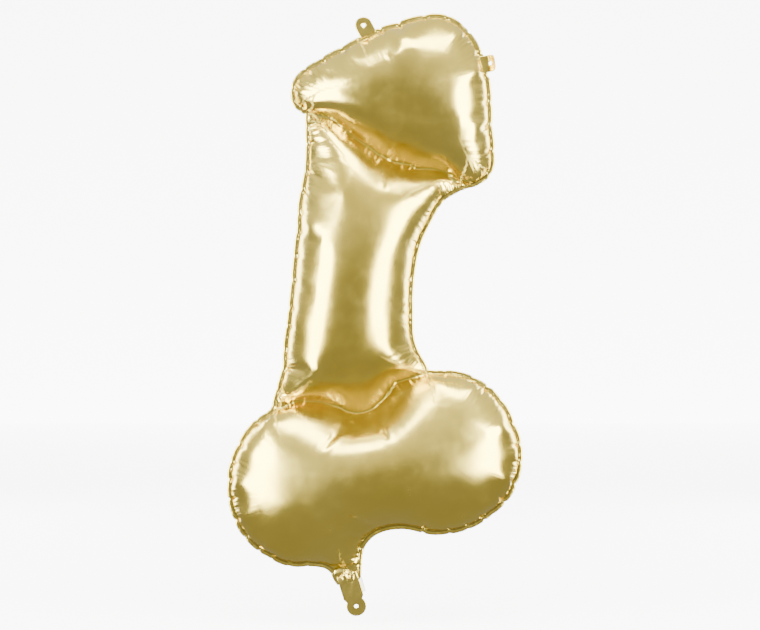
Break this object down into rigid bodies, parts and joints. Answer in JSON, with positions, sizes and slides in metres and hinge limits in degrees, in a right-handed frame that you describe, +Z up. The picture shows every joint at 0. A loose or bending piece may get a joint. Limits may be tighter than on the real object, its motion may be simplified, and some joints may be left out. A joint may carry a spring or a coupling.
{
  "type": "shaped foil balloon",
  "caption": "Filled foil balloon in a stylised phallic novelty shape: two film panels welded round the edge, two hanging tabs, a folding filling tail and an inner valve.",
  "frame": {"origin": "centre of the upper tab's hole, from which the balloon hangs", "axes": "+Z up along the balloon's height, +X to the right seen from the front, -Y towards the front; the weld lies in the plane Y = 0"},
  "size_m": [0.446, 0.1702, 0.9002],
  "materials": {
    "gold_film": "metallised champagne-gold film, mirror bright",
    "clear_film": "clear valve film"
  },
  "bodies": {
    "balloon": {"front_panel": "gold_film", "rear_panel": "gold_film", "valve_front_film": "clear_film", "valve_rear_film": "clear_film"},
    "upper_tab": {"upper_tab": "gold_film"},
    "side_tab": {"side_tab": "gold_film"},
    "tail": {"tail_front_ply": "gold_film", "tail_rear_ply": "gold_film", "valve_inlet_front_film": "clear_film", "valve_inlet_rear_film": "clear_film"}
  },
  "joints": [
    {"name": "upper_tab_fold", "type": "hinge", "parent": "balloon", "child": "upper_tab", "pos_m": [0.00423, 0, -0.00795], "axis": [0.8829, 0, 0.4695], "range_deg": [-90, 90]},
    {"name": "side_tab_fold", "type": "hinge", "parent": "balloon", "child": "side_tab", "pos_m": [0.18163, 0, -0.05835], "axis": [-0.1392, 0, 0.9903], "range_deg": [-90, 90]},
    {"name": "tail_fold", "type": "hinge", "parent": "balloon", "child": "tail", "pos_m": [-0.02297, 0, -0.83105], "axis": [0.9563, 0, 0.2924], "range_deg": [-90, 90]}
  ]
}
